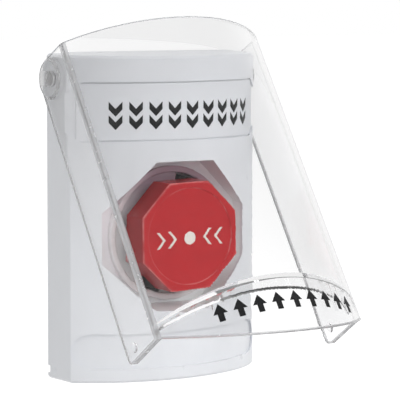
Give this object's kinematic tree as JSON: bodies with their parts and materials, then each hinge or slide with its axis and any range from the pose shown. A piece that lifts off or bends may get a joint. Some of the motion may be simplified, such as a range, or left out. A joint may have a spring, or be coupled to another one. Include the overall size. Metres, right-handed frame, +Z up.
{
  "type": "covered emergency push button",
  "caption": "Wall station with an arched front, a large octagonal push button in a recess and a hinged clear cover held lifted on side pins.",
  "frame": {"origin": "centre of the back face, which lies on the wall", "axes": "+X to the viewer's right, -Y out of the wall toward the user, +Z up"},
  "size_m": [0.0886, 0.11, 0.1365],
  "materials": {
    "housing": "moulded, satin gloss",
    "label": "printed plastic strip, blank",
    "steel": "zinc plated",
    "ring": "grey, glossy",
    "black_plastic": "black, moulded",
    "button": "red, glossy",
    "cam_plastic": "natural, moulded",
    "brass": "plain",
    "clear": "clear, polished"
  },
  "bodies": {
    "station": {"housing_shell": "housing", "label_strip": "label", "mounting_plate": "steel", "guard_ring": "ring", "operator_barrel": "black_plastic", "locking_nut": "black_plastic", "hinge_pin_right": "ring", "hinge_pin_left": "ring", "switch_block_right": "black_plastic", "switch_block_left": "black_plastic", "terminal_clamp_lower_right": "steel", "terminal_clamp_lower_left": "steel", "terminal_clamp_upper_right": "steel", "terminal_clamp_upper_left": "steel", "terminal_screw_lower_right": "brass", "terminal_screw_lower_left": "brass", "terminal_screw_upper_right": "brass", "terminal_screw_upper_left": "brass"},
    "cover": {"clear_cover": "clear"},
    "button": {"button_head": "button", "cam_stem": "cam_plastic", "return_spring": "steel"},
    "plunger_left": {"plunger_left": "cam_plastic"},
    "plunger_right": {"plunger_right": "cam_plastic"}
  },
  "joints": [
    {"name": "cover_hinge", "type": "hinge", "parent": "station", "child": "cover", "pos_m": [0, -0.0087, 0.052], "axis": [-1, 0, 0], "range_deg": [-34.66, 55]},
    {"name": "button_press", "type": "slide", "parent": "station", "child": "button", "axis": [0, 1, 0], "range_m": [0, 0.004], "stiffness_N_per_m": 2500, "springref_m": -0.002, "deforming": ["return_spring"]},
    {"name": "plunger_left_slide", "type": "slide", "parent": "station", "child": "plunger_left", "axis": [-1, 0, 0], "range_m": [0, 0.002]},
    {"name": "plunger_right_slide", "type": "slide", "parent": "station", "child": "plunger_right", "axis": [1, 0, 0], "range_m": [0, 0.002]}
  ],
  "couplings": [
    {"joint": "plunger_left_slide", "follows": "button_press", "ratio": 0.5},
    {"joint": "plunger_right_slide", "follows": "button_press", "ratio": 0.5}
  ]
}
